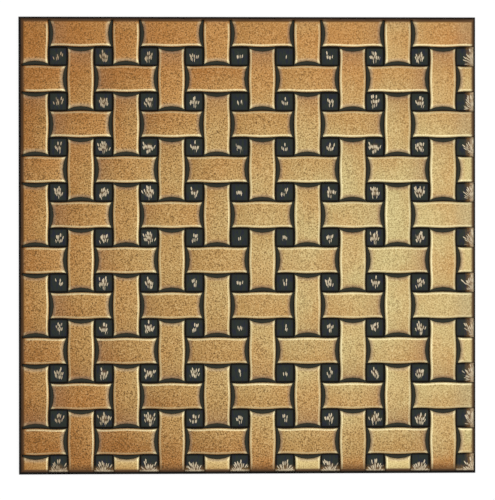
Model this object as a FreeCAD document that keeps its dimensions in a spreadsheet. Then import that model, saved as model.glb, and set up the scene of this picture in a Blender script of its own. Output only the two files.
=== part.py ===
import FreeCAD, Part
import math
import os
import Sketcher

# A square wall panel moulded in one piece as a woven lattice of broad straps.
# The panel lies on its flat back. The origin is the centre of the back face,
# +Z points out of the decorated face, +X to its right edge and +Y to its top edge.
# At each crossing one strap shows as a raised pad, arched along its length, with
# bowed sides and hollowed ends. The other strap dips under it, and between four
# crossings lies a sunken square well with leaning walls. Outside the first straps a
# border rail runs along the left and the top edge. At the right and the bottom edge
# the last straps run out over the edge, and the well floors there curve up to the rim.
# Columns count from the left edge and rows from the top edge, both from one. The
# upright strap is the upper one where column and row are both odd or both even.

V = FreeCAD.Vector

# Driving sizes in millimetres. Heights are measured from the back face.
SIZES = [
    ("strap_count", 10),
    ("strap_pitch", 49.5),
    ("border", 5.0),
    ("strap_width", 27.0),
    ("side_bow", 0.79),
    ("pad_length", 66.0),
    ("end_hollow", 3.2),
    ("face_height", 12.0),
    ("pad_drop", 1.6),
    ("shoulder_inset", 1.2),
    ("shoulder_slope", 0.5),
    ("pad_root", 5.5),
    ("rail_height", 10.6),
    ("rail_lap", 0.3),
    ("web_height", 8.0),
    ("well_height", 5.5),
    ("well_ledge", 0.9),
    ("well_lean", 0.85),
    ("ramp_width", 10.0),
    ("ramp_hollow", 0.6),
    ("rim_width", 0.8),
    ("edge_round", 6.0),
    ("trim", 1.0),
]

# Sizes that follow from the driving ones, as formulas of the sheet.
DERIVED = [
    ("panel_side", "=border + strap_count * strap_pitch"),
    ("panel_half", "=panel_side / 2"),
    ("rail_inner", "=panel_half - border - rail_lap"),
    ("first_centre", "=border + strap_width / 2"),
    ("double_pitch", "=2 * strap_pitch"),
    ("strap_half", "=strap_width / 2"),
    ("pad_half", "=pad_length / 2"),
    ("runout_half", "=strap_pitch - strap_half + trim"),
    ("blank_half", "=strap_half + side_bow + trim"),
    ("flat_half", "=strap_half - shoulder_inset"),
    ("shoulder_foot", "=face_height - (blank_half - flat_half) * shoulder_slope"),
    ("side_radius", "=(pad_half ^ 2 + side_bow ^ 2) / (2 * side_bow)"),
    ("end_radius", "=(strap_half ^ 2 + end_hollow ^ 2) / (2 * end_hollow)"),
    ("arch_radius", "=(pad_half ^ 2 + pad_drop ^ 2) / (2 * pad_drop)"),
    ("arch_centre", "=face_height - arch_radius"),
    ("blank_reach", "=runout_half + trim"),
    ("cutter_half", "=blank_reach + trim"),
    ("cutter_top", "=face_height + trim"),
    ("well_depth", "=web_height - well_height"),
    ("well_mouth", "=(strap_pitch - strap_width) / 2 - well_ledge"),
    ("well_half", "=well_mouth - well_lean"),
    ("ramp_foot", "=well_height - trim"),
    ("ramp_start", "=panel_half - ramp_width"),
    ("ramp_end", "=panel_half - rim_width"),
    ("ramp_run", "=(ramp_end - ramp_start) ^ 2 + well_depth ^ 2"),
    ("ramp_radius", "=ramp_run / (8 * ramp_hollow) + ramp_hollow / 2"),
    ("mould_top", "=face_height + trim / 4"),
    ("odd", "=mod(strap_count; 2)"),
    ("count_up", "=ceil(strap_count / 2)"),
    ("count_down", "=floor(strap_count / 2)"),
    ("odd_places", "=count_up + 1 - 2 * odd"),
    ("even_places", "=count_down - 1 + 2 * odd"),
    ("upright_end_column", "=2 - odd"),
    ("level_end_row", "=1 + odd"),
]

doc = FreeCAD.newDocument("wall_panel")
sheet = doc.addObject("Spreadsheet::Sheet", "Sizes")


def fill_sheet():
    """Writes each size into its own row of the sheet, the name beside the value."""
    for row, (name, value) in enumerate(SIZES + DERIVED, start=1):
        sheet.set(f"A{row}", name)
        sheet.set(f"B{row}", str(value))
        sheet.setAlias(f"B{row}", name)
    doc.recompute()


def size(name):
    """The value of a size, or its negative where the name starts with a minus."""
    value = float(getattr(sheet, name.lstrip("-")))
    return -value if name.startswith("-") else value


def formula(name):
    """The sheet's cell for a size, as an expression that other objects can hold."""
    sign = "-" if name.startswith("-") else ""
    return f"{sign}Sizes.{name.lstrip('-')}"


def column_x(column):
    return f"Sizes.first_centre - Sizes.panel_half + ({column} - 1) * Sizes.strap_pitch"


def row_y(row):
    return f"Sizes.panel_half - Sizes.first_centre - ({row} - 1) * Sizes.strap_pitch"


def new_body(label):
    body = doc.addObject("PartDesign::Body", label)
    body.Label = label
    body.AllowCompound = True
    return body


def origin_item(body, role):
    return next(item for item in body.Origin.OriginFeatures if item.Role == role)


def new_sketch(body, name, role, offset=None, turn=0):
    """A sketch on an origin plane of its body, moved by formulas and turned by degrees."""
    sketch = body.newObject("Sketcher::SketchObject", name)
    sketch.AttachmentSupport = [(origin_item(body, role), "")]
    sketch.MapMode = "FlatFace"
    sketch.AttachmentOffset = FreeCAD.Placement(
        V(0, 0, 0), FreeCAD.Rotation(V(0, 0, 1), turn)
    )
    for axis, text in (offset or {}).items():
        sketch.setExpression(f"AttachmentOffset.Base.{axis}", text)
    return sketch


def bound(sketch, label, constraint, text):
    """Adds a named constraint to a sketch and ties its value to a formula."""
    index = sketch.addConstraint(constraint)
    sketch.renameConstraint(index, label)
    sketch.setExpression(f"Constraints.{label}", text)


def square_corners(half):
    """The corners of a square about the sketch's origin, from half its side."""
    less = "-" + half
    return [(less, less), (half, less), (half, half), (less, half)]


def draw_outline(sketch, corners, radii):
    """Closes an outline through corners named by their sizes, with straight or arc sides.

    The corners run anticlockwise. radii holds one entry for the side after each corner:
    None for a straight side, or the name of a radius, with a minus where the arc curves
    into the outline.
    """
    first = sketch.GeometryCount
    total = len(corners)
    places = [V(size(x), size(y), 0) for x, y in corners]
    for index, radius in enumerate(radii):
        start = places[index]
        end = places[(index + 1) % total]
        if radius is None:
            sketch.addGeometry(Part.LineSegment(start, end))
            continue
        chord = end - start
        left = V(-chord.y, chord.x, 0).normalize()
        reach = abs(size(radius))
        depth = math.sqrt(reach ** 2 - (chord.Length / 2) ** 2)
        side = 1 if size(radius) > 0 else -1
        centre = (start + end) / 2 + left * depth * side
        sketch.addGeometry(Part.Arc(start, centre - left * reach * side, end))
        curve = Sketcher.Constraint("Radius", first + index, reach)
        bound(sketch, f"curve_{first + index}", curve, formula(radius.lstrip("-")))
    for index, (x, y) in enumerate(corners):
        side = first + index
        before = first + (index - 1) % total
        near = end_at(sketch, side, places[index])
        meets = end_at(sketch, before, places[index])
        sketch.addConstraint(Sketcher.Constraint("Coincident", before, meets, side, near))
        across = Sketcher.Constraint("DistanceX", side, near, size(x))
        bound(sketch, f"across_{side}", across, formula(x))
        upward = Sketcher.Constraint("DistanceY", side, near, size(y))
        bound(sketch, f"upward_{side}", upward, formula(y))


def end_at(sketch, side, place):
    """Which end of a side lies at a place: an arc's start may be either end."""
    return 1 if sketch.getPoint(side, 1).distanceToPoint(place) < 1e-6 else 2


def add_axis(sketch, half, height):
    """A construction line, level and centred, that a section can be turned about."""
    axis = sketch.GeometryCount
    ends = [V(-size(half), size(height), 0), V(size(half), size(height), 0)]
    sketch.addGeometry(Part.LineSegment(*ends), True)
    for end, name in ((1, "-" + half), (2, half)):
        across = Sketcher.Constraint("DistanceX", axis, end, size(name))
        bound(sketch, f"axis_across_{end}", across, formula(name))
        upward = Sketcher.Constraint("DistanceY", axis, end, size(height))
        bound(sketch, f"axis_upward_{end}", upward, formula(height))


def new_pad(body, name, sketch, length, both_ways=False):
    pad = body.newObject("PartDesign::Pad", name)
    pad.Profile = sketch
    pad.Refine = False
    pad.setExpression("Length", length)
    if both_ways:
        pad.SideType = "Symmetric"
    return pad


def make_pads(label, direction, column, row, columns, rows, runs_out=False):
    """A lattice of raised pads on every second column and row, as one body.

    The strap's section, flat with two sloping shoulders, is turned about a level axis
    far below the panel, which arches it along its length. A frame-shaped pocket then
    trims it to its plan: bowed sides and hollowed ends. Where the strap runs out over
    the panel's edge, that end is straight and lies beyond the edge.
    """
    body = new_body(label)
    upright = direction == "upright"
    x, y = column_x(column), row_y(row)
    if upright:
        section = new_sketch(body, label + "_section", "XZ_Plane", {"x": x, "z": f"-({y})"})
    else:
        section = new_sketch(body, label + "_section", "YZ_Plane", {"x": y, "z": x})
    draw_outline(
        section,
        [
            ("-blank_half", "pad_root"),
            ("blank_half", "pad_root"),
            ("blank_half", "shoulder_foot"),
            ("flat_half", "face_height"),
            ("-flat_half", "face_height"),
            ("-blank_half", "shoulder_foot"),
        ],
        [None] * 6,
    )
    add_axis(section, "blank_half", "arch_centre")
    blank = body.newObject("PartDesign::Revolution", label + "_blank")
    blank.Profile = section
    blank.ReferenceAxis = (section, ["Axis0"])
    blank.Refine = False
    blank.Midplane = True
    blank.setExpression("Angle", "2 * asin(Sizes.blank_reach / Sizes.arch_radius)")
    plan_at = {"x": x, "y": y, "z": "Sizes.cutter_top"}
    plan = new_sketch(body, label + "_plan", "XY_Plane", plan_at, 0 if upright else 90)
    far = "-runout_half" if runs_out else "-pad_half"
    draw_outline(
        plan,
        [
            ("-strap_half", far),
            ("strap_half", far),
            ("strap_half", "pad_half"),
            ("-strap_half", "pad_half"),
        ],
        [None if runs_out else "-end_radius", "side_radius", "-end_radius", "side_radius"],
    )
    draw_outline(plan, square_corners("cutter_half"), [None] * 4)
    doc.recompute()
    before = blank.Shape.Volume
    trimmed = body.newObject("PartDesign::Pocket", label + "_trimmed")
    trimmed.Profile = plan
    trimmed.Refine = False
    trimmed.setExpression("Length", "Sizes.cutter_top")
    doc.recompute()
    if trimmed.Shape.Volume >= before:
        raise RuntimeError(label + ": the plan trimmed nothing from the pad")
    repeat(body, label, "Sizes.double_pitch", columns, rows)
    return body


def repeat(body, label, spacing, columns, rows):
    """Repeats all that a body holds so far to the right, and then that row downwards."""
    for name, axis, count in (("_row", "X_Axis", columns), ("_rows", "Y_Axis", rows)):
        pattern = body.newObject("PartDesign::LinearPattern", label + name)
        pattern.Refine = False
        pattern.TransformMode = "Whole shape"
        pattern.Direction = (origin_item(body, axis), [""])
        pattern.Reversed = axis == "Y_Axis"
        pattern.Mode = "Spacing"
        pattern.setExpression("Offset", spacing)
        pattern.setExpression("Occurrences", count)
        body.Tip = pattern
        doc.recompute()


def upright_faces(shape):
    """The names of the faces that stand between the lowest and the highest face."""
    height = shape.BoundBox.ZLength
    return [
        f"Face{index}"
        for index, face in enumerate(shape.Faces, start=1)
        if face.BoundBox.ZLength > height / 2
    ]


def lowest_face(shape):
    heights = [face.CenterOfMass.z for face in shape.Faces]
    return f"Face{heights.index(min(heights)) + 1}"


def make_wells():
    """The hollows between the straps, square and flat-floored, with leaning walls."""
    body = new_body("wells")
    middle = "Sizes.strap_pitch / 2"
    x = f"{column_x(1)} + {middle}"
    y = f"{row_y(1)} - {middle}"
    plan = new_sketch(body, "well_plan", "XY_Plane", {"x": x, "y": y, "z": "Sizes.well_height"})
    draw_outline(plan, square_corners("well_half"), [None] * 4)
    block = new_pad(body, "well_block", plan, "Sizes.cutter_top - Sizes.well_height")
    doc.recompute()
    walls = body.newObject("PartDesign::Draft", "well_walls")
    walls.Base = (block, upright_faces(block.Shape))
    walls.NeutralPlane = (block, [lowest_face(block.Shape)])
    walls.Refine = False
    walls.Reversed = True
    walls.setExpression("Angle", "atan(Sizes.well_lean / Sizes.well_depth)")
    doc.recompute()
    if walls.Shape.Volume <= block.Shape.Volume:
        raise RuntimeError("the well's walls don't lean outwards")
    repeat(body, "well", "Sizes.strap_pitch", "Sizes.strap_count", "Sizes.strap_count")
    return body


def square_plan(body, name):
    plan = new_sketch(body, name, "XY_Plane")
    draw_outline(plan, square_corners("panel_half"), [None] * 4)
    return plan


def make_mould():
    """The outer form of the panel: a square block with its upper edges rounded over."""
    body = new_body("outer_form")
    block = new_pad(body, "block", square_plan(body, "block_plan"), "Sizes.mould_top")
    doc.recompute()
    edges = [
        f"Edge{index}"
        for index, edge in enumerate(block.Shape.Edges, start=1)
        if edge.BoundBox.ZMin > size("web_height")
    ]
    rounding = body.newObject("PartDesign::Fillet", "rolled_edges")
    rounding.Base = (block, edges)
    rounding.Refine = False
    rounding.setExpression("Radius", "Sizes.edge_round")
    return body


def combine(body, name, kind, tools):
    step = body.newObject("PartDesign::Boolean", name)
    step.Refine = False
    step.Type = kind
    step.setObjects(tools)
    doc.recompute()
    return step


def add_ramp(body, name, role, mirrored):
    """The well floors beside one edge curve up to the rim, along the panel's whole side."""
    profile = new_sketch(body, name + "_profile", role)
    side = "-" if mirrored else ""
    corners = [
        (side + "ramp_start", "ramp_foot"),
        (side + "ramp_end", "ramp_foot"),
        (side + "ramp_end", "web_height"),
        (side + "ramp_start", "well_height"),
    ]
    radii = [None, None, "-ramp_radius", None]
    if mirrored:
        corners = [corners[i] for i in (1, 0, 3, 2)]
    draw_outline(profile, corners, radii)
    return new_pad(body, name, profile, "Sizes.panel_side", both_ways=True)


def add_rail(body):
    """The border strip outside the first strap, along the left and the top edge."""
    plan = new_sketch(body, "rail_plan", "XY_Plane")
    corners = [
        ("-panel_half", "-panel_half"),
        ("-rail_inner", "-panel_half"),
        ("-rail_inner", "rail_inner"),
        ("panel_half", "rail_inner"),
        ("panel_half", "panel_half"),
        ("-panel_half", "panel_half"),
    ]
    draw_outline(plan, corners, [None] * len(corners))
    return new_pad(body, "border_rail", plan, "Sizes.rail_height")


def make_panel():
    body = new_body("panel")
    new_pad(body, "web", square_plan(body, "web_plan"), "Sizes.web_height")
    doc.recompute()
    combine(body, "sunken_wells", "Cut", [make_wells()])
    add_ramp(body, "right_ramp", "XZ_Plane", mirrored=False)
    add_ramp(body, "bottom_ramp", "YZ_Plane", mirrored=True)
    add_rail(body)
    doc.recompute()
    last = "Sizes.strap_count"
    odd, even = "Sizes.odd_places", "Sizes.even_places"
    up, down = "Sizes.count_up", "Sizes.count_down"
    pads = [
        make_pads("upright_odd", "upright", 1, 1, up, odd),
        make_pads("upright_even", "upright", 2, 2, down, even),
        make_pads("upright_last", "upright", "Sizes.upright_end_column", last, up, "1", True),
        make_pads("level_odd", "level", 1, 2, odd, down),
        make_pads("level_even", "level", 2, 1, even, up),
        make_pads("level_last", "level", last, "Sizes.level_end_row", "1", down, True),
    ]
    doc.recompute()
    combine(body, "raised_pads", "Fuse", pads)
    combine(body, "outer_shape", "Common", [make_mould()])
    return body


def check_document():
    for item in doc.Objects:
        if "Invalid" in item.State or "Error" in item.State:
            raise RuntimeError(f"{item.Label} could not be made: {item.State}")


def write(body):
    shape = body.Shape
    if shape.isNull() or not shape.isValid() or len(shape.Solids) != 1:
        raise RuntimeError(f"{body.Label} is not one valid solid")
    os.makedirs("parts", exist_ok=True)
    shape.exportStep(f"parts/{body.Label}.step")


fill_sheet()
panel = make_panel()
check_document()
write(panel)
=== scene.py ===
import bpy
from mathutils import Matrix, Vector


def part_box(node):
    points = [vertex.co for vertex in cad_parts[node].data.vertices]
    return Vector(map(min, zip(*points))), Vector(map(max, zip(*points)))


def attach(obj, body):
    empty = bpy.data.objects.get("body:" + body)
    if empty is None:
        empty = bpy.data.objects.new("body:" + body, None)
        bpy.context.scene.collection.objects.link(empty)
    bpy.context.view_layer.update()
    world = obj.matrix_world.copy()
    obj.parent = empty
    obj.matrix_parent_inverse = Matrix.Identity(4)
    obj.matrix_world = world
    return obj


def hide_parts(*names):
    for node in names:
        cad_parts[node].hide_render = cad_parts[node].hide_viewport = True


bl_info = {
    "name": "Woven relief wall panel",
    "version": (1, 0, 0),
    "blender": (4, 5, 0),
    "location": "View3D > Sidebar > Wall Panel",
    "description": "Builds a moulded basketweave wall panel with a rubbed antique gold finish",
    "category": "Add Mesh",
}

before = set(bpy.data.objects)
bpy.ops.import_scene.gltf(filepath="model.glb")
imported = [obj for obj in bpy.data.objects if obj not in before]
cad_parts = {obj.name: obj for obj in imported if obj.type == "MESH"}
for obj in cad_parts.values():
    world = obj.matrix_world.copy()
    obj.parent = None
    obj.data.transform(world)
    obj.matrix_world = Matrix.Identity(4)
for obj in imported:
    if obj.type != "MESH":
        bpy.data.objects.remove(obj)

import math

import bpy
import numpy as np
from mathutils import Euler

MM = 0.001
PANEL_LOW, PANEL_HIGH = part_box("panel")
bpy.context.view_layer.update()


def srgb(red, green, blue):
    """A screen colour of 0 to 255 as the linear colour that a shader takes."""
    def linear(level):
        level /= 255
        return level / 12.92 if level <= 0.04045 else ((level + 0.055) / 1.055) ** 2.4
    return (linear(red), linear(green), linear(blue))


def length(name, default, text):
    return bpy.props.FloatProperty(
        name=name, description=text, default=default * MM, min=0, unit="LENGTH", precision=4
    )


def colour(name, default, text):
    return bpy.props.FloatVectorProperty(
        name=name, description=text, default=srgb(*default), min=0, max=1, size=3, subtype="COLOR"
    )


class WeaveSizes(bpy.types.PropertyGroup):
    """Sizes of the moulded weave, heights from the flat back."""
    pitch: length("Strap pitch", 49.5, "Distance from one strap's centre to the next")
    border: length("Border", 5, "Plain strip outside the first strap, at the left and the top")
    strap_width: length("Strap width", 27, "Width of a strap at the ends of a pad")
    pad_length: length("Pad length", 66, "Length of a raised pad, corner to corner")
    bulge: length("Bulge", 1, "How far a pad's side swells beside its own crossing")
    flare: length("Flare", 0.35, "How far a pad's corners spread")
    end_hollow: length("End hollow", 3.2, "Depth of the hollow curve in a pad's end")
    face: length("Face height", 12, "Height of a pad in the middle")
    pad_drop: length("Pad drop", 1.6, "How far a pad's arch falls to its ends")
    rim_round: length("Rim rounding", 0.8, "How far a pad's long edges are rounded down")
    rail: length("Rail height", 10.6, "Height of the border strip")
    web: length("Web height", 8, "Height of the ground between the pads")
    well: length("Well height", 5.5, "Height of a well's floor")
    ramp_width: length("Ramp width", 10, "Width of the ramps at the right and bottom edges")
    rim_width: length("Rim width", 0.8, "Level strip between a ramp and the panel's edge")
    edge_round: length("Edge rounding", 6, "Radius of the rolled outer edge")
    mould_top: length("Rolled edge top", 12.25, "Height at which the rolled edge would level out")


class GoldFinish(bpy.types.PropertyGroup):
    """Colours of the rubbed antique gold and of the dark ground."""
    speck: colour("Dark specks", (100, 70, 28), "Specks in the gold's sandy grain")
    # Deep, middle and light gold follow the gold's level in antique_gold, which holds painted light: the
    # light gold near the middle and the right is partly painted highlight, the deep gold at the left
    # partly painted shade.
    deep: colour("Deep gold", (158, 96, 20), "Gold at the left and in the grain's hollows")
    middle: colour("Middle gold", (189, 146, 81), "Gold over most of the panel")
    light: colour("Light gold", (206, 188, 128), "Gold near the middle and the right")
    straw: colour("Straw gold", (246, 220, 150), "Short pads along the bottom edge")
    # Pale rubbed gold, also used for painted highlight on the rims and ends that face the panel's middle
    # and for painted glints on the grain.
    rubbed: colour("Rubbed rim", (250, 236, 186), "Rims and corners rubbed pale")
    # Painted shade: mauve brown laid over the half of each pad that faces away from the panel's middle.
    dull: colour("Dull half", (168, 132, 106), "Mauve brown over the outward half of a pad")
    # Painted shade: grey brown where a pad's hollow end curves down.
    ash: colour("Ash end", (158, 134, 108), "Grey brown at the hollow ends")
    # Orange: partly painted shade at the ends of pads, where they curve down.
    warm: colour("Warm end", (196, 128, 54), "Orange towards a pad's ends, the top and the bottom")
    # Brown of the rolled edge, partly painted shade where the edge rolls down.
    burnt: colour("Burnt brown", (84, 56, 28), "Brown of the rolled edge")
    outline: colour("Outline", (12, 9, 7), "Near black of the panel's sides")
    # Painted shadow along the walls round gaps and wells.
    shadow: colour("Wall brown", (28, 21, 13), "Brown black of the walls round gaps and wells")
    gap: colour("Gap slate", (57, 58, 48), "Ground in the gaps at a pad's ends")
    slate: colour("Slate", (51, 58, 51), "Ground in the wells")
    navy: colour("Navy blotches", (44, 48, 60), "Blue blotches in the wells")
    stroke: colour("Pale strokes", (244, 226, 192), "Short brush strokes in the wells")
    # Painted shade: the same strokes dimmer where the painted light is lower, towards the left.
    dim_stroke: colour("Dim strokes", (200, 174, 138), "The same strokes towards the left")
    wash: colour("Wash", (190, 140, 78), "Thin gold under the denser strokes")


class StageSettings(bpy.types.PropertyGroup):
    """Camera, lamps and floor."""
    lens: bpy.props.FloatProperty(
        name="Lens", description="Focal length in millimetres", default=170, min=10
    )
    lamp_size: bpy.props.FloatProperty(
        name="Lamp size", description="Side of the soft lamp", default=1.2, min=0.01, unit="LENGTH"
    )
    lamp_power: bpy.props.FloatProperty(
        name="Lamp power", description="Power of the soft lamp", default=15.0, min=0, unit="POWER"
    )
    sky: bpy.props.FloatProperty(
        name="Sky strength", description="Strength of the even light around", default=0.5, min=0
    )
    floor_colour: colour("Floor", (240, 240, 240), "Colour of the plain floor")


def half_cell(sizes):
    """Grid stations of half a cell, from a crossing's centre to halfway to the next one.

    They crowd where the surface turns: at the strap's rounded edge, its wall, the well's
    mouth and foot, and the neighbouring pad's end. Values are millimetres.
    """
    half = sizes.strap_width / MM / 2
    end = sizes.pitch / MM - sizes.pad_length / MM / 2
    return np.concatenate([
        half * np.array([0, 0.52, 0.83]),
        half + np.array([-1.2, -0.55, 0, 0.4, 0.9, 1.75]),
        end + np.array([-0.4, 0, 0.5, 1.4, 3.1, 5.7]),
        [sizes.pitch / MM / 2],
    ])


def grid_lines(sizes, side):
    """All grid stations from the left or top edge to the opposite one, and their cells.

    Returns each station's place, the number of its nearest crossing, and its signed
    distance from that crossing. The rolled edges have stations of their own.
    """
    border = sizes.border / MM
    pitch = sizes.pitch / MM
    first = border + sizes.strap_width / MM / 2
    half = half_cell(sizes)
    cell = np.concatenate([-half[:0:-1], half])
    count = round((side - border) / pitch)
    places = (first + pitch * np.arange(count + 1)[:, None] + cell).ravel()
    places = places[(places > border - 1e-6) & (places < side + 1e-6)]
    rolled = np.array([0, 0.15, 0.5, 1.1, 2, 3.2])
    places = np.unique(np.round(np.concatenate([rolled, places, [side - 0.15]]), 5))
    nearest = np.clip(np.round((places - first) / pitch), 0, count).astype(int)
    return places, nearest, places - first - pitch * nearest


def rounded(gap, width, fall):
    """A rounded edge: nothing beyond width from the edge, and a full fall at the edge."""
    return fall * np.clip(1 - gap / width, 0, 1) ** 2


def weave_surface(sizes):
    """The panel's face as a function of two grid coordinates, in millimetres.

    The base grid is square. Each coordinate is then moved sideways by A(s) times the
    strap's bulge plus B(s) times the hollow of a pad's end, where s is the distance from
    the crossing, A is one round the strap's edge and B is one round the pad's end. The
    height is the arch 12 - drop * (d / half length) squared less the rounded rims on a pad,
    the web's height in the gaps, a level floor in the wells that rises along the right and
    bottom edges, and nowhere above the quarter round of the outer edge.
    """
    side = (PANEL_HIGH.x - PANEL_LOW.x) / MM
    pitch = sizes.pitch / MM
    half = sizes.strap_width / MM / 2
    reach = sizes.pad_length / MM / 2
    end = pitch - reach
    places, nearest, offset = grid_lines(sizes, side)
    last = nearest.max()
    col, row = nearest[None, :], nearest[:, None]
    p, q = offset[None, :], offset[:, None]
    a, b = np.abs(p), np.abs(q)
    upright = (col + row) % 2 == 0
    d_up = np.where(upright, b, pitch - b)
    d_level = np.where(upright, pitch - a, a)

    def strap_half(d):
        swell = np.cos(np.clip(d / (0.72 * reach), 0, 1) * math.pi / 2) ** 2
        spread = np.clip((d - 0.72 * reach) / (0.28 * reach), 0, 1) ** 2
        return sizes.bulge / MM * swell + sizes.flare / MM * spread - 0.1

    def hollow(s):
        return sizes.end_hollow / MM * np.clip(1 - (s / half) ** 2, 0, 1)

    def moved(s, strap, hollow_end):
        wide = np.interp(s, [0, half, half + 1.75, end - 0.4, pitch / 2], [0, 1, 1, 0, 0])
        long = np.interp(s, [half + 0.4, end - 0.4, end, pitch / 2], [0, 1, 1, 0])
        return wide * strap + long * hollow_end

    move_x = moved(a, strap_half(d_up), np.where(upright, hollow(b), 0)) * np.sign(p)
    move_y = moved(b, strap_half(d_level), np.where(upright, 0, hollow(a))) * np.sign(q)
    fixed_x = (col == last) | ((col == 0) & (p < 0))
    fixed_y = (row == last) | ((row == 0) & (q < 0))
    x = places[None, :] + np.where(fixed_x, 0, move_x)
    y = places[:, None] + np.where(fixed_y, 0, move_y)

    def pad(across, along, plain_side, plain_end):
        arch = sizes.face / MM - sizes.pad_drop / MM * (along / reach) ** 2
        side_fall = rounded(np.abs(half - across), 1.6, sizes.rim_round / MM)
        end_fall = rounded(np.abs(reach - along), 2.0, 0.9)
        return arch - np.where(plain_side, 0.4, 1) * side_fall - np.where(plain_end, 0, end_fall)

    tiny = 1e-4
    left_strip = (col == 0) & (p < -half - tiny)
    top_strip = (row == 0) & (q < -half - tiny)
    up_pad = (a < half + tiny) & (upright | (b > end - tiny) | (row == last))
    level_pad = (b < half + tiny) & (~upright | (a > end - tiny) | (col == last))
    up_top = pad(a, d_up, (col == 0) & (p < 0), row == last) + 0 * p
    level_top = pad(b, d_level, (row == 0) & (q < 0), col == last) + 0 * q

    well = (a > half + 0.9 - tiny) & (b > half + 0.9 - tiny)
    foot = pitch / 2 - half - 1.75
    wx, wy = p - np.sign(p) * pitch / 2, q - np.sign(q) * pitch / 2
    depth = (sizes.web - sizes.well) / MM

    def ramp(along):
        start = side - sizes.ramp_width / MM
        rise = np.clip((along - start) / (side - sizes.rim_width / MM - start), 0, 1)
        return sizes.well / MM + depth * (0.05 * rise + 0.95 * rise ** 2)

    floor = np.maximum(ramp(x), ramp(y))
    mouth = np.maximum(np.abs(wx), np.abs(wy)) > foot + tiny
    floor = np.where(mouth, sizes.web / MM, floor)

    web = sizes.web / MM + 0 * x
    z = np.where(well, floor, web)
    z = np.where(up_pad, up_top, z)
    z = np.where(level_pad, level_top, z)
    rail = sizes.rail / MM
    border_up = left_strip & (upright | (b > end - tiny)) & ~level_pad
    border_level = top_strip & (~upright | (a > end - tiny)) & ~up_pad
    z = np.where((left_strip & ~level_pad) | (top_strip & ~up_pad), rail, z)
    z = np.where(border_up, np.maximum(rail, pad(half, d_up, True, True)), z)
    z = np.where(border_level, np.maximum(rail, pad(half, d_level, True, True)), z)

    radius = sizes.edge_round / MM
    inset = np.minimum(np.minimum(x, side - x), np.minimum(y, side - y))
    inset = np.clip(inset, 0, radius)
    roll = sizes.mould_top / MM - radius + np.sqrt(radius ** 2 - (radius - inset) ** 2)
    z = np.minimum(np.minimum(z, roll), PANEL_HIGH.z / MM)

    strips = (left_strip & ~level_pad) | (top_strip & ~up_pad)
    along_up = np.where(upright, q, -np.sign(q) * (pitch - b))
    along_level = np.where(upright, -np.sign(p) * (pitch - a), p)
    level_here = level_pad | (top_strip & ~up_pad & ~left_strip)
    into_gap = (np.maximum(a, b) - half - 0.4) / (end - half - 0.8)
    strap = np.stack([
        np.where(level_here, q, p + 0 * q),
        np.where(level_here, along_level, along_up),
        np.where(up_pad | level_pad | strips, 1.0, -2 * np.clip(into_gap, 0, 1)),
    ], axis=-1)
    inside = (well & ~left_strip & ~top_strip).astype(float)
    dip = np.stack([wx + 0 * q, wy + 0 * p, inside], axis=-1)
    own_row = np.where(level_here, row, np.round(row - along_up / pitch + q / pitch))
    own_col = np.where(level_here, np.round(col - along_level / pitch + p / pitch), col)
    tone_of = np.random.default_rng(5).uniform(-1, 1, (last + 3, last + 3))
    tone = tone_of[own_row.astype(int) + 1, own_col.astype(int) + 1] + np.where(level_here, -0.8, 0.8)
    own_well = tone_of[row + (q > 0), col + (p > 0)]
    well_col, well_row = col + (p > 0) - 1, row + (q > 0) - 1
    swing = 0.22 * np.cos((well_col - 1.5) * math.pi / 3) + 0.07 * np.cos((well_row - 2.4) * 1.1)
    edge_x, edge_y = well_col == last - 1, well_row == last - 1
    fill = np.where(edge_x | edge_y, 0.97, 0.57 + swing + 0.09 * own_well)
    dabs = np.stack([
        np.where(edge_x, 7.0, 0.0) + 0 * q, np.where(edge_y, 5.5, 0.0) + 0 * p, fill
    ], axis=-1)
    tone = np.where(own_row == last, 4.0, tone)
    tone = np.where(inside > 0, own_well, tone)
    face = np.stack([x - side / 2, side / 2 - y, z], axis=-1)
    # toward: how far a pad's long side faces the panel's middle, where the light falls; the material
    # paints that side lighter with a paler rim as painted highlight, and the other side darker as painted
    # shade.
    toward = np.where(level_here, q * face[..., 1], -p * face[..., 0]) / (half * 120)
    # inward: how far a pad's end faces the panel's middle; the material paints that end lighter with a
    # pale painted highlight, and the outward half mauve brown as painted shade.
    inward = np.where(level_here, -along_level * face[..., 0], along_up * face[..., 1])
    return face, {
        "strap": strap,
        "well": dip,
        "dabs": dabs,
        "pad_tone": tone,
        "facing": np.clip(toward, -1, 1),
        "inward": np.clip(inward / (reach * 180), -1, 1),
    }


def closed_panel(face):
    """Closes the face into a solid: a straight skirt down to the back, and a flat back.

    The back is a fan of triangles from its centre to the skirt's lower edge. Returns
    vertices, quads and triangles, with faces pointing outwards.
    """
    rows, columns = face.shape[:2]
    index = np.arange(rows * columns).reshape(rows, columns)
    quads = np.stack(
        [index[:-1, :-1], index[1:, :-1], index[1:, 1:], index[:-1, 1:]], axis=-1
    ).reshape(-1, 4)
    ring = np.concatenate([index[:-1, 0], index[-1, :-1], index[:0:-1, -1], index[0, :0:-1]])
    top = face.reshape(-1, 3)
    foot = top[ring].copy()
    foot[:, 2] = PANEL_LOW.z / MM
    centre = np.array([[0, 0, PANEL_LOW.z / MM]])
    low = len(top) + np.arange(len(ring))
    skirt = np.stack([ring, low, np.roll(low, -1), np.roll(ring, -1)], axis=-1)
    middle = np.full(len(ring), len(top) + len(ring))
    back = np.stack([middle, np.roll(low, -1), low], axis=-1)
    return np.concatenate([top, foot, centre]), np.concatenate([quads, skirt]), back


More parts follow.
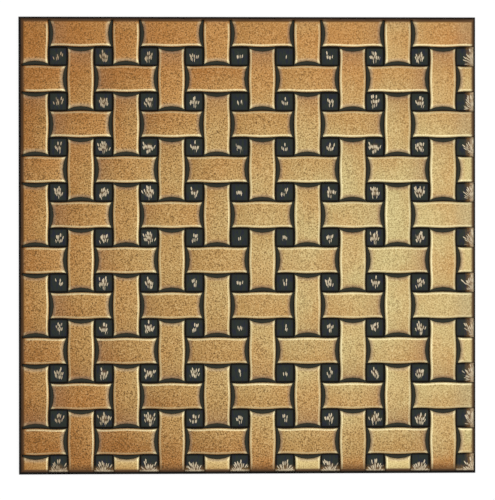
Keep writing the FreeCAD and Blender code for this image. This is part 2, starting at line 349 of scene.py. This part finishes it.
def put_mesh(name, points, quads, triangles):
    """Puts whole arrays of vertices (millimetres), quads and triangles into a new object."""
    mesh = bpy.data.meshes.new(name)
    corners = np.concatenate([quads.ravel(), triangles.ravel()])
    counts = np.concatenate([np.full(len(quads), 4), np.full(len(triangles), 3)])
    mesh.vertices.add(len(points))
    mesh.vertices.foreach_set("co", (points * MM).astype(np.float32).ravel())
    mesh.loops.add(len(corners))
    mesh.loops.foreach_set("vertex_index", corners.astype(np.int32))
    mesh.polygons.add(len(counts))
    starts = np.concatenate([[0], np.cumsum(counts)[:-1]])
    mesh.polygons.foreach_set("loop_start", starts.astype(np.int32))
    mesh.polygons.foreach_set("use_smooth", np.ones(len(counts), bool))
    mesh.update(calc_edges=True)
    if mesh.validate():
        raise RuntimeError(name + ": the mesh had faults")
    mesh.set_sharp_from_angle(angle=math.radians(48))
    thing = bpy.data.objects.new(name, mesh)
    bpy.context.scene.collection.objects.link(thing)
    return thing


def put_attribute(mesh, name, values):
    """Stores one number or one vector for each vertex, with zeros for those added last."""
    kind, field = ("FLOAT", "value") if values.ndim == 2 else ("FLOAT_VECTOR", "vector")
    data = np.zeros(len(mesh.vertices) * (1 if kind == "FLOAT" else 3), np.float32)
    data[:values.size] = values.ravel()
    mesh.attributes.new(name, kind, "POINT").data.foreach_set(field, data)


class Number:
    """A socket that carries a number, so that shader maths reads as plain expressions."""

    def __init__(self, shader, socket):
        self.shader = shader
        self.socket = socket

    def math(self, operation, *others, clamp=False):
        terms = dict(enumerate([self, *others]))
        settings = {"operation": operation, "use_clamp": clamp}
        return self.shader.add("ShaderNodeMath", settings, terms)

    def __add__(self, other):
        return self.math("ADD", other)

    __radd__ = __add__

    def __mul__(self, other):
        return self.math("MULTIPLY", other)

    __rmul__ = __mul__

    def __sub__(self, other):
        return self.math("SUBTRACT", other)

    def __rsub__(self, other):
        return self.shader.add("ShaderNodeMath", {"operation": "SUBTRACT"}, {0: other, 1: self})

    def __truediv__(self, other):
        return self.math("DIVIDE", other)

    def __pow__(self, other):
        return self.math("POWER", other)

    def __abs__(self):
        return self.math("ABSOLUTE")

    def least(self, other):
        return self.math("MINIMUM", other)

    def most(self, other):
        return self.math("MAXIMUM", other)

    def ease(self, start, stop):
        """Rises smoothly from 0 at start to 1 at stop, which may be the smaller."""
        turned = stop < start
        low, high = (stop, start) if turned else (start, stop)
        span = (1, 0) if turned else (0, 1)
        settings = {"interpolation_type": "SMOOTHSTEP"}
        return self.shader.add(
            "ShaderNodeMapRange", settings, {0: self, 1: low, 2: high, 3: span[0], 4: span[1]}
        )


class Shader:
    """Builds one material's nodes."""

    def __init__(self, name):
        self.material = bpy.data.materials.new(name)
        self.material.use_nodes = True
        self.tree = self.material.node_tree
        self.tree.nodes.clear()

    def add(self, kind, settings=None, sockets=None, output=0):
        """Adds a node: its settings first, then its sockets' values or links."""
        node = self.tree.nodes.new(kind)
        for key, value in (settings or {}).items():
            setattr(node, key, value)
        for key, value in (sockets or {}).items():
            if isinstance(value, Number):
                self.tree.links.new(value.socket, node.inputs[key])
            else:
                node.inputs[key].default_value = value
        return Number(self, node.outputs[output])

    def attribute(self, name, output="Fac"):
        return self.add("ShaderNodeAttribute", {"attribute_name": name}, output=output)

    def split(self, vector):
        node = self.add("ShaderNodeSeparateXYZ", sockets={0: vector}).socket.node
        return [Number(self, socket) for socket in node.outputs]

    def join(self, x, y, z=0):
        return self.add("ShaderNodeCombineXYZ", sockets={0: x, 1: y, 2: z})

    def vector(self, operation, first, second):
        return self.add("ShaderNodeVectorMath", {"operation": operation}, {0: first, 1: second})

    def noise(self, vector, scale, detail=2.0, rough=0.5):
        sockets = {"Vector": vector, "Scale": scale, "Detail": detail, "Roughness": rough}
        return self.add("ShaderNodeTexNoise", {"noise_dimensions": "3D"}, sockets)

    def mix(self, factor, first, second):
        """Mixes two colours, the second one fully where the factor is one."""
        def full(value):
            return (*value, 1) if isinstance(value, tuple) else value
        settings = {"data_type": "RGBA", "clamp_factor": True}
        return self.add("ShaderNodeMix", settings, {0: factor, 6: full(first), 7: full(second)}, 2)

    def bump(self, height, distance, strength=1.0, normal=None):
        sockets = {"Height": height, "Distance": distance, "Strength": strength}
        if normal:
            sockets["Normal"] = normal
        return self.add("ShaderNodeBump", sockets=sockets)

    def finish(self, surface):
        self.add_output(surface)
        return self.material

    def add_output(self, surface):
        node = self.tree.nodes.new("ShaderNodeOutputMaterial")
        self.tree.links.new(surface.socket, node.inputs["Surface"])


def antique_gold(finish, sizes):
    """Rubbed antique gold on the straps with painted light and shade, a brown rolled edge with painted
    shade, painted shadow along the walls, and a slate ground with strokes.
    """
    s = Shader("antique_gold_on_slate")
    place = s.add("ShaderNodeTexCoord", output="Object")
    x, y, _ = (axis / MM for axis in s.split(place))
    across, along, on_strap = s.split(s.attribute("strap", "Vector"))
    wx, wy, in_well = s.split(s.attribute("well", "Vector"))
    shift_x, shift_y, fill = s.split(s.attribute("dabs", "Vector"))
    tone = s.attribute("pad_tone")
    facing = s.attribute("facing")
    inward = s.attribute("inward")
    edge = (PANEL_HIGH.x - PANEL_LOW.x) / MM / 2
    upper_left = (edge + x).least(edge - y + 0.3)
    lower_right = (edge - x).least(edge + y)

    # Gold: a slow drift over the panel, lighter to the right and falling away from a line just below the
    # middle, that is partly the gold's own tone and partly painted light from the lamp's broad highlight;
    # blotches, faint upright streaks and a sandy grain.
    low_y = y + 20.0
    lit_drift = 0.63 + x * 0.0018 - (low_y * low_y) * 0.0000064
    blotch = s.noise(place, 22.0, 3.0) - 0.5
    streak = s.noise(s.join(x * 0.9, y * 0.05), 1.0, 2.0) - 0.5
    grain = s.noise(place, 700.0, 2.0, 0.7) - 0.5
    side_gap = sizes.strap_width / MM / 2 - abs(across)
    end_gap = sizes.pad_length / MM / 2 - abs(along) + lower_right.ease(12.0, 8.0) * 20.0
    above_edge = edge + y
    # Painted light on each pad: lighter on the long side and at the end that face the panel's middle, and
    # a painted highlight along the top edge. Lighter near the right edge, and darker at the upper left as
    # part of the drift.
    level = lit_drift + blotch * 0.45 + streak * 0.3 + facing * 0.12 + inward * 0.14 + tone * 0.06
    level = level + (edge - y).ease(26.0, 8.0) * 0.3 + (edge - x).ease(24.0, 14.0) * 0.12
    level = level - x.ease(-60.0, -240.0) * y.ease(60.0, 240.0) * 0.13
    low = s.mix(level.ease(-0.2, 0.5), finish["deep"], finish["middle"])
    gold = s.mix(level.ease(0.4, 1.1), low, finish["light"])
    stub = tone.ease(3.0, 3.6)
    orange = s.noise(place, 15.0, 3.0).ease(0.44, 0.68)
    # Orange: painted shade towards a pad's ends, where it curves down; also more orange towards the top,
    # towards the bottom edge, in a band near the right, at the upper left and in blotches.
    warmth = end_gap.ease(10.0, 1.0) * 0.2 + y.ease(60.0, 250.0) * 0.44 + orange * 0.25
    warmth = warmth + above_edge.ease(26.0, 5.0) * (1 - stub) * 0.75
    warmth = warmth + (edge - x).ease(75.0, 40.0) * (edge - x).ease(8.0, 24.0) * 0.17
    warmth = warmth + x.ease(-110.0, -220.0) * y.ease(180.0, 80.0) * 0.2
    gold = s.mix(warmth, gold, finish["warm"])
    # Painted shade over the outward half of each pad.
    gold = s.mix(inward.ease(-0.1, -1.0) * above_edge.ease(5.0, 60.0) * 0.28, gold, finish["dull"])
    gold = s.mix(stub * x.ease(-225.0, -180.0) * above_edge.ease(4.0, 16.0) * 0.44, gold, finish["straw"])
    sandy = side_gap.ease(0.8, 2.4) * (1.1 - y.ease(100.0, 260.0) * 0.35) * (1 - stub * 0.5)
    sandy = sandy * (0.94 + x.ease(-220.0, -70.0) * 0.14)
    # Dark specks in the grain, more where the painted light is lower, and pale flecks on its peaks, more
    # where it is higher: painted glints.
    gold = s.mix(grain.ease(0.04, -0.18) * sandy * (1.17 - lit_drift * 0.72), gold, finish["speck"])
    gold = s.mix(grain.ease(0.0, 0.22) * sandy * (0.1 + lit_drift * 0.16), gold, finish["rubbed"])

    # Rims: rubbed pale along both long edges, palest at the corners, with painted highlight added on the
    # rims that face the panel's middle, more where the painted light drift is higher, and on the ends
    # that face the middle; painted shade in grey brown at the hollow ends.
    side_rim = side_gap.ease(2.8, 1.6) * (0.66 + facing * 0.22) * (0.7 + lit_drift * 0.34)
    side_rim = side_rim * side_gap.ease(-0.1, 0.8) * (0.92 + streak * 0.9 + blotch * 0.5)
    side_rim = side_rim * upper_left.ease(6.0, 10.0)
    corner = side_gap.ease(4.0, 0.5) * end_gap.ease(5.0, 1.0)
    # Painted shade in grey brown where the pad's hollow end curves down.
    hollow_end = end_gap.ease(6.5, 0.8) * side_gap.ease(0.5, 3.5)
    gold = s.mix(hollow_end * 0.62, gold, finish["ash"])
    end_highlight = end_gap.ease(9.0, 1.6) * inward.ease(0.0, 0.6) * 0.16
    wear_and_highlight = (side_rim * 0.95 + corner * 0.5 + end_highlight + grain * 0.5).least(1.0).most(0.0)
    gold = s.mix(wear_and_highlight, gold, finish["rubbed"])
    # The rolled edge: brown at the left, top, right and bottom, partly the dark base colour and partly
    # painted shade where the edge rolls down.
    rolled = (edge - x).ease(6.2, 3.0).most(above_edge.ease(7.0, 4.4))
    rolled = rolled.most(above_edge.ease(15.0, 4.0) * (1 - stub) * 0.75)
    gold = s.mix(upper_left.ease(7.4, 4.6).most(rolled), gold, finish["burnt"])

    # Ground: slate with navy streaks, brown gaps, and painted shadow near black along every wall. The
    # gaps go from painted shadow near black beside the crossing strap to brown below the hollow end.
    patch = s.noise(s.join(x * 0.45, y * 0.12), 1.0, 2.0)
    ground = s.mix(patch.ease(0.45, 0.65), finish["slate"], finish["navy"])
    ground = s.mix(in_well, s.mix(on_strap.ease(0.0, -1.0), finish["shadow"], finish["gap"]), ground)
    open_x = shift_x.ease(0.0, 1.0) * wx.ease(0.0, 2.0) * 20.0
    open_y = shift_y.ease(0.0, 1.0) * wy.ease(0.0, 2.0) * 20.0
    well_wall = (abs(wx) - open_x).most(abs(wy) - open_y).ease(8.0, 9.5) * in_well
    ground = s.mix(well_wall, ground, finish["shadow"])

    # Strokes: long dabs that fan out from a point below the well's middle, or past the
    # rim where the well is a ramp. Each well keeps those whose middles lie inside its own
    # ragged clump, and the denser clumps have a thin wash of gold beneath.
    at_edge = (shift_x + shift_y).ease(0.0, 1.0)
    fine = 12.5 - at_edge * 4.0
    short = 0.2 - at_edge * 0.05
    apex = 17.0 - at_edge * 7.0 - shift_x * 0.3
    apex_x = wx - shift_x * 1.2
    apex_y = apex - wy + shift_y * 0.6
    fan = s.add("ShaderNodeMath", {"operation": "ARCTAN2"}, {0: apex_x, 1: apex_y})
    reach = ((apex_x * apex_x) + (apex_y * apex_y)).math("SQRT")
    cells = s.join(fan * fine + tone * 41.0, reach * short + tone * 17.0)
    voronoi = s.add(
        "ShaderNodeTexVoronoi", {"voronoi_dimensions": "2D", "feature": "F1"},
        {"Vector": cells, "Scale": 1.0, "Randomness": 0.8}
    ).socket.node
    dab = Number(s, voronoi.outputs["Distance"])
    chance, second_chance, _ = s.split(Number(s, voronoi.outputs["Color"]))
    turn, far, _ = s.split(Number(s, voronoi.outputs["Position"]))
    turn = (turn - tone * 41.0) / fine
    far = (far - tone * 17.0) / short
    dab_x = far * turn.math("SINE") + shift_x * 0.2
    dab_y = far * turn.math("COSINE") + shift_y * 0.4 - apex
    spread = ((dab_x * dab_x) + (dab_y * dab_y)).math("SQRT")
    radius = 1.6 + fill * 5.8 + at_edge * 1.4
    kept = (radius * (0.6 + chance * 0.6) - spread).ease(-0.1, 0.1)
    kept = kept * (fill + 0.35 - second_chance).ease(-0.02, 0.02)
    strokes = (dab + at_edge * 0.04).ease(0.47, 0.33) * kept * in_well * (1 - well_wall)
    strokes = strokes * (0.7 + chance * 0.4)
    off_x, off_y = wx - shift_x, wy - shift_y
    near = ((off_x * off_x) + (off_y * off_y)).math("SQRT") / radius
    wash = near.ease(0.9, 0.2) * fill.ease(0.45, 0.9) * 0.3
    run_out = (edge - x + patch * 6.0).ease(16.0, 6.0).most(above_edge.ease(11.0, 4.0) * 0.7)
    wash = wash.most(run_out * (0.5 + grain * 2.5))
    ground = s.mix(wash * in_well, ground, finish["wash"])
    # Strokes are lit and shaded copies of one colour: dimmer where the painted light drift is lower,
    # towards the left.
    lit = (lit_drift + at_edge * 0.15).ease(-0.1, 0.4)
    ground = s.mix(strokes, ground, s.mix(lit, finish["dim_stroke"], finish["stroke"]))
    strip = above_edge.ease(5.0, 4.4).most((edge - x).ease(7.0, 4.0)) * in_well
    ground = s.mix(strip * (0.35 + grain), ground, finish["stroke"])

    # A near-black band round the panel's edge in plan: the dark sides, with painted shade on the steepest
    # part of the rolled edge.
    outline = upper_left.ease(4.2, 1.6).most((edge - x).ease(2.8, 1.5)).most(above_edge.ease(4.0, 2.4))
    side_tone = s.mix(blotch.ease(-0.05, 0.3), finish["outline"], finish["shadow"])
    relief = s.bump(grain * 0.8 + strokes * 1.5, 0.3 * MM, 0.5)
    dark = s.add("ShaderNodeBsdfPrincipled", sockets={
        "Base Color": s.mix(outline, ground, side_tone),
        "Roughness": 0.7,
        "Specular IOR Level": 0.12,
        "Normal": relief,
    })
    gilding = s.add("ShaderNodeBsdfPrincipled", sockets={
        "Base Color": gold,
        "Metallic": 0.35,
        "Specular IOR Level": 0.3,
        "Roughness": 0.5 - wear_and_highlight * 0.14,
        "Normal": relief,
    })
    gilt = on_strap.ease(0.5, 0.7) * (1 - outline)
    return s.finish(s.add("ShaderNodeMixShader", sockets={0: gilt, 1: dark, 2: gilding}))


class WALLPANEL_OT_relief(bpy.types.Operator):
    """Builds the moulded panel with its woven straps, wells and rolled edge"""
    bl_idname = "wallpanel.relief"
    bl_label = "Woven relief"

    def execute(self, context):
        sizes = context.scene.panel_weave
        colours = context.scene.panel_gold
        face, guides = weave_surface(sizes)
        relief = put_mesh("woven_relief", *closed_panel(face))
        for name, values in guides.items():
            put_attribute(relief.data, name, values)
        finish = {key: tuple(getattr(colours, key)) for key in GoldFinish.__annotations__}
        relief.data.materials.append(antique_gold(finish, sizes))
        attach(relief, "root")
        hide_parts("panel")
        return {"FINISHED"}


def floor_finish(tint):
    """A plain pale floor, lifted to white where the camera or a reflection sees it."""
    s = Shader("pale_floor")
    surface = s.add("ShaderNodeBsdfPrincipled", sockets={
        "Base Color": (*tint, 1),
        "Roughness": 0.9,
        "Specular IOR Level": 0.1,
    })
    glow = s.add("ShaderNodeEmission", sockets={"Color": (1, 1, 1, 1), "Strength": 1.15})
    rays = s.add("ShaderNodeLightPath").socket.node
    seen = Number(s, rays.outputs["Is Camera Ray"]).most(Number(s, rays.outputs["Is Glossy Ray"]))
    seen = seen.most(Number(s, rays.outputs["Is Transmission Ray"]))
    both = s.add("ShaderNodeMixShader", sockets={0: seen * 0.75, 1: surface, 2: glow})
    return s.finish(both)


class WALLPANEL_OT_stage(bpy.types.Operator):
    """Lays the pale floor and sets the lamps, the sky and the camera"""
    bl_idname = "wallpanel.stage"
    bl_label = "Stage"

    def execute(self, context):
        scene = context.scene
        stage = scene.panel_stage
        reach = 4000.0
        drop = -0.3
        corners = np.array([
            [-reach, -reach, drop], [reach, -reach, drop], [reach, reach, drop], [-reach, reach, drop]
        ])
        floor = put_mesh("floor", corners, np.array([[0, 1, 2, 3]]), np.zeros((0, 3), int))
        floor.data.materials.append(floor_finish(tuple(stage.floor_colour)))

        self.lamp("soft_lamp", stage, (0.3, 0.02, 1.9))
        world = bpy.data.worlds.new("even_sky")
        world.use_nodes = True
        nodes, links = world.node_tree.nodes, world.node_tree.links
        sky = nodes["Background"]
        rays = nodes.new("ShaderNodeLightPath")
        seen = nodes.new("ShaderNodeMath")
        seen.operation = "MAXIMUM"
        links.new(rays.outputs["Is Camera Ray"], seen.inputs[0])
        links.new(rays.outputs["Is Transmission Ray"], seen.inputs[1])
        strength = nodes.new("ShaderNodeMapRange")
        strength.inputs["To Min"].default_value = stage.sky
        strength.inputs["To Max"].default_value = 1.0
        links.new(seen.outputs[0], strength.inputs["Value"])
        links.new(strength.outputs[0], sky.inputs["Strength"])
        sky.inputs["Color"].default_value = (1, 1, 1, 1)
        scene.world = world

        camera = bpy.data.cameras.new("camera")
        camera.lens = stage.lens
        view = bpy.data.objects.new("camera", camera)
        view.location = (-0.0811, 0.00541, 2.58967)
        view.rotation_euler = Euler([math.radians(turn) for turn in (-0.2292, -1.7954, -0.0597)])
        scene.collection.objects.link(view)
        scene.camera = view
        scene.view_settings.view_transform = "Standard"
        return {"FINISHED"}

    def lamp(self, name, stage, place):
        light = bpy.data.lights.new(name, "AREA")
        light.shape = "SQUARE"
        light.size = stage.lamp_size
        light.energy = stage.lamp_power
        lamp = bpy.data.objects.new(name, light)
        lamp.location = place
        bpy.context.scene.collection.objects.link(lamp)


class WALLPANEL_PT_sidebar(bpy.types.Panel):
    """Lists the panel's settings and the two steps that build it"""
    bl_label = "Wall Panel"
    bl_space_type = "VIEW_3D"
    bl_region_type = "UI"
    bl_category = "Wall Panel"

    def draw(self, context):
        scene = context.scene
        for title, group in (
            ("Weave", scene.panel_weave), ("Finish", scene.panel_gold), ("Stage", scene.panel_stage)
        ):
            box = self.layout.box()
            box.label(text=title)
            for name in group.__annotations__:
                box.prop(group, name)
        self.layout.operator("wallpanel.relief")
        self.layout.operator("wallpanel.stage")


CLASSES = (
    WeaveSizes, GoldFinish, StageSettings, WALLPANEL_OT_relief, WALLPANEL_OT_stage, WALLPANEL_PT_sidebar
)
GROUPS = {"panel_weave": WeaveSizes, "panel_gold": GoldFinish, "panel_stage": StageSettings}


def register():
    for item in CLASSES:
        bpy.utils.register_class(item)
    for name, group in GROUPS.items():
        setattr(bpy.types.Scene, name, bpy.props.PointerProperty(type=group))


def unregister():
    for name in GROUPS:
        delattr(bpy.types.Scene, name)
    for item in reversed(CLASSES):
        bpy.utils.unregister_class(item)


def main():
    register()
    bpy.ops.wallpanel.stage()
    bpy.ops.wallpanel.relief()


if __name__ == "__main__":
    main()
